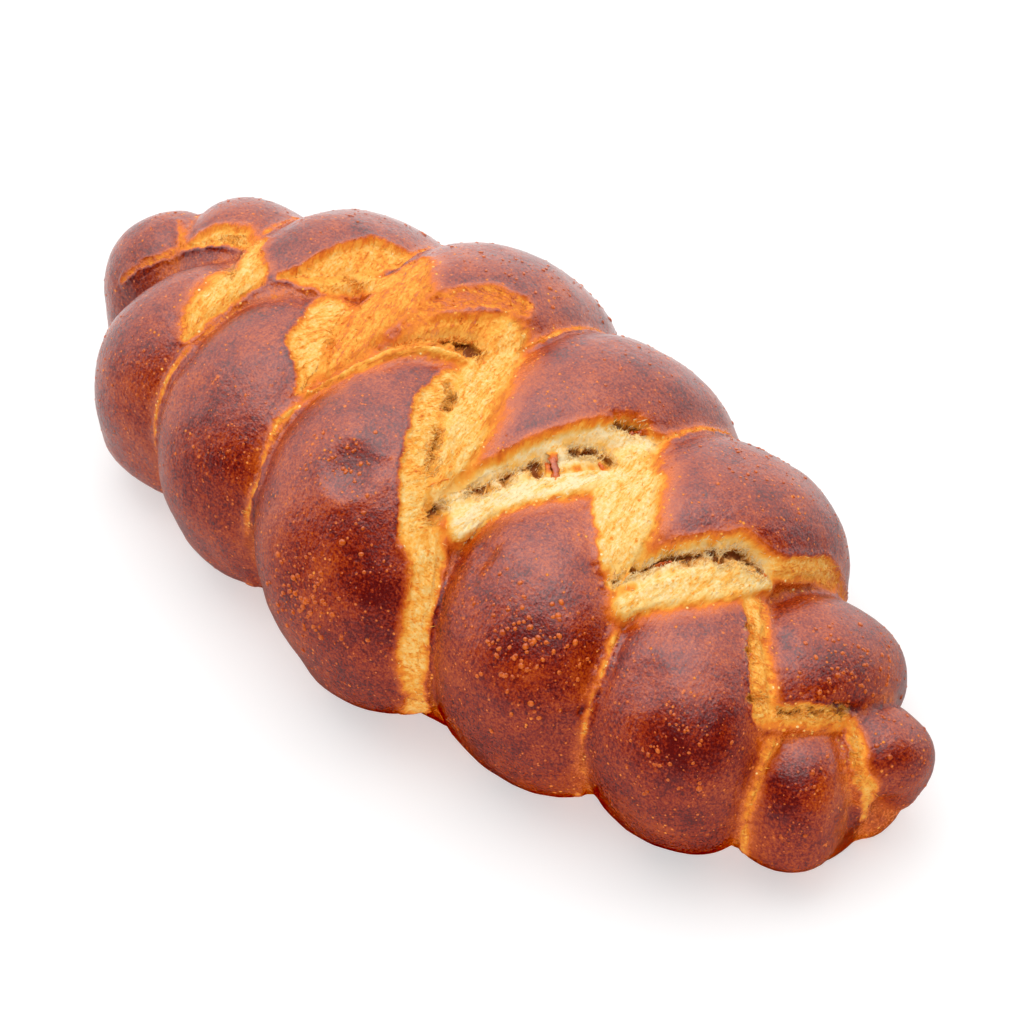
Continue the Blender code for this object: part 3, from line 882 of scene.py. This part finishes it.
# ---- The studio ----------------------------------------------------------------------------------------
# A white sweep under large soft boxes, as for a catalogue: floor, light and camera only.
floor_mesh = bpy.data.meshes.new("studio_floor")
sheet = bmesh.new()
bmesh.ops.create_grid(sheet, x_segments=1, y_segments=1, size=4)
sheet.to_mesh(floor_mesh)
sheet.free()
white = bpy.data.materials.new("white_sweep")
white.use_nodes = True
white_shader = white.node_tree.nodes["Principled BSDF"]
white_shader.inputs["Base Color"].default_value = (0.6, 0.6, 0.6, 1)
white_shader.inputs["Roughness"].default_value = 0.9
# The sweep glows: its emission lights the loaf's low flanks from below like a lamp, and in reflections it is darker on
# the camera's side and brighter behind the loaf.
white_shader.inputs["Emission Color"].default_value = (1, 1, 1, 1)
mirrored = place(white.node_tree, "LightPath").outputs["Is Glossy Ray"]
spread = place(white.node_tree, "TexCoord").outputs["Object"]
toward_camera = (math.sin(math.radians(39.21)), -math.cos(math.radians(39.21)), 0)
spread = place(white.node_tree, "VectorMath", {0: spread, 1: toward_camera}, operation="DOT_PRODUCT")
behind = remap(white.node_tree, spread.outputs["Value"], 0.1, -0.25, -0.25, 0.6)
lit = sums(white.node_tree, "MULTIPLY_ADD", mirrored, sums(white.node_tree, "ADD", behind, -0.45), 0.45)
white.node_tree.links.new(lit, white_shader.inputs["Emission Strength"])
floor_mesh.materials.append(white)
floor = bpy.data.objects.new("studio_floor", floor_mesh)
bpy.context.collection.objects.link(floor)


def soft_box(name, place_at, aim, size, power):
    """A square area light that points at aim."""
    lamp = bpy.data.lights.new(name, "AREA")
    lamp.shape = "SQUARE"
    lamp.size = size
    lamp.energy = power
    holder = bpy.data.objects.new(name, lamp)
    holder.location = place_at
    holder.rotation_euler = (Vector(aim) - Vector(place_at)).to_track_quat("-Z", "Y").to_euler()
    bpy.context.collection.objects.link(holder)
    return holder


view_azimuth = math.radians(39.21)
view_elevation = math.radians(52.43)
back = Vector((
    math.sin(view_azimuth) * math.cos(view_elevation),
    -math.cos(view_azimuth) * math.cos(view_elevation),
    math.sin(view_elevation),
))
soft_box("overhead_box", (-0.4, 0.25, 1.4), (0, 0, 0), 1.3, 9)
fill = soft_box("front_fill", (0.9, -1.1, 0.3), (0, 0, 0), 1.6, 18)
fill.visible_glossy = False

world = bpy.data.worlds.new("studio")
world.use_nodes = True
sky = world.node_tree
background = sky.nodes["Background"]
background.inputs["Color"].default_value = (1, 1, 1, 1)
seen = place(sky, "LightPath").outputs["Is Camera Ray"]
toward = place(sky, "TexCoord").outputs["Generated"]
level = place(sky, "VectorMath", {0: toward, 1: (1, 1, 0)}, operation="MULTIPLY").outputs[0]
level = place(sky, "VectorMath", {0: level}, operation="NORMALIZE").outputs[0]
dark_side = Vector((math.sin(view_azimuth + 0.12), -math.cos(view_azimuth + 0.12), 0))
facing = place(sky, "VectorMath", {0: level, 1: dark_side}, operation="DOT_PRODUCT").outputs["Value"]
height = place(sky, "SeparateXYZ", {0: toward}).outputs["Z"]
beside = remap(sky, facing, 0.3, -0.1, 0.0, 1.0)
above = remap(sky, height, 0.78, 0.94, 0.0, 1.0)
dim = sums(sky, "MAXIMUM", beside, above)
dim = sums(sky, "MULTIPLY", dim, remap(sky, height, -0.2, 0.8, 1.0, 1.25))
gloss = place(sky, "LightPath").outputs["Is Glossy Ray"]
dim = sums(sky, "MULTIPLY", dim, sums(sky, "MULTIPLY_ADD", gloss, 0.55, 0.95))
sky.links.new(sums(sky, "MAXIMUM", seen, dim), background.inputs["Strength"])
bpy.context.scene.world = world
bpy.context.scene.view_settings.view_transform = "Standard"
bpy.context.scene.view_settings.look = "None"

lens = bpy.data.cameras.new("camera")
lens.lens = 129.57
lens.sensor_width = 36
lens.clip_start = 0.01
camera = bpy.data.objects.new("camera", lens)
camera.location = Vector((0.0072, -0.0008, 0.037)) + back * 1.2072
camera.rotation_euler = (-back).to_track_quat("-Z", "Y").to_euler()
bpy.context.collection.objects.link(camera)
bpy.context.scene.camera = camera
